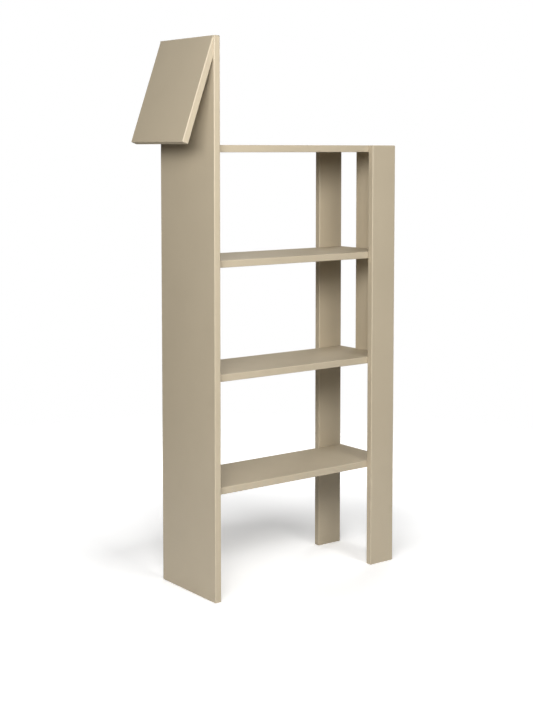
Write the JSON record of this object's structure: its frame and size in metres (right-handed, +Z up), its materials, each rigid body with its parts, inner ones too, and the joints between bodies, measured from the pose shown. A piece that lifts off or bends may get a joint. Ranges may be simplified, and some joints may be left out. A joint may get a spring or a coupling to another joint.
{
  "type": "children's bookcase",
  "caption": "Open, backless bookcase in a long-necked animal's outline: tall side panel with a sloping head board, shelves, two leg uprights and a tail board.",
  "frame": {"origin": "middle of the footprint's bounding box, on the floor", "axes": "+Z up; -Y is the front, where the front leg's wide face looks; +X to the right, from the neck panel towards the legs"},
  "size_m": [0.701, 0.24, 1.4],
  "materials": {
    "lacquered_board": "fibreboard in a smooth satin beige lacquer, edges softened",
    "cam_zinc": "die-cast zinc, dull",
    "plated_steel": "zinc-plated steel",
    "beech": "plain beech, unfinished"
  },
  "bodies": {
    "root": {"neck_panel": "lacquered_board", "head_board": "lacquered_board", "shelf_1": "lacquered_board", "shelf_2": "lacquered_board", "shelf_3": "lacquered_board", "shelf_4": "lacquered_board", "front_leg": "lacquered_board", "rear_leg": "lacquered_board", "tail_board": "lacquered_board", "cam_1_neck_front": "cam_zinc", "cam_1_neck_rear": "cam_zinc", "cam_1_front_leg": "cam_zinc", "cam_1_rear_leg": "cam_zinc", "cam_2_neck_front": "cam_zinc", "cam_2_neck_rear": "cam_zinc", "cam_2_front_leg": "cam_zinc", "cam_2_rear_leg": "cam_zinc", "cam_2_tail": "cam_zinc", "cam_3_neck_front": "cam_zinc", "cam_3_neck_rear": "cam_zinc", "cam_3_front_leg": "cam_zinc", "cam_3_rear_leg": "cam_zinc", "cam_4_neck_front": "cam_zinc", "cam_4_neck_rear": "cam_zinc", "cam_4_front_leg": "cam_zinc", "cam_4_rear_leg": "cam_zinc", "cam_4_tail": "cam_zinc", "bolt_1_neck_front": "plated_steel", "bolt_1_neck_rear": "plated_steel", "bolt_1_front_leg": "plated_steel", "bolt_1_rear_leg": "plated_steel", "bolt_2_neck_front": "plated_steel", "bolt_2_neck_rear": "plated_steel", "bolt_2_front_leg": "plated_steel", "bolt_2_rear_leg": "plated_steel", "bolt_2_tail": "plated_steel", "bolt_3_neck_front": "plated_steel", "bolt_3_neck_rear": "plated_steel", "bolt_3_front_leg": "plated_steel", "bolt_3_rear_leg": "plated_steel", "bolt_4_neck_front": "plated_steel", "bolt_4_neck_rear": "plated_steel", "bolt_4_front_leg": "plated_steel", "bolt_4_rear_leg": "plated_steel", "bolt_4_tail": "plated_steel", "dowel_1_neck": "beech", "dowel_1_front_leg": "beech", "dowel_1_rear_leg": "beech", "dowel_2_neck": "beech", "dowel_2_front_leg": "beech", "dowel_2_rear_leg": "beech", "dowel_3_neck": "beech", "dowel_3_front_leg": "beech", "dowel_3_rear_leg": "beech", "dowel_3_tail": "beech", "dowel_4_neck": "beech", "dowel_4_front_leg": "beech", "dowel_4_rear_leg": "beech", "head_screw_front": "plated_steel", "head_screw_rear": "plated_steel"}
  },
  "joints": []
}
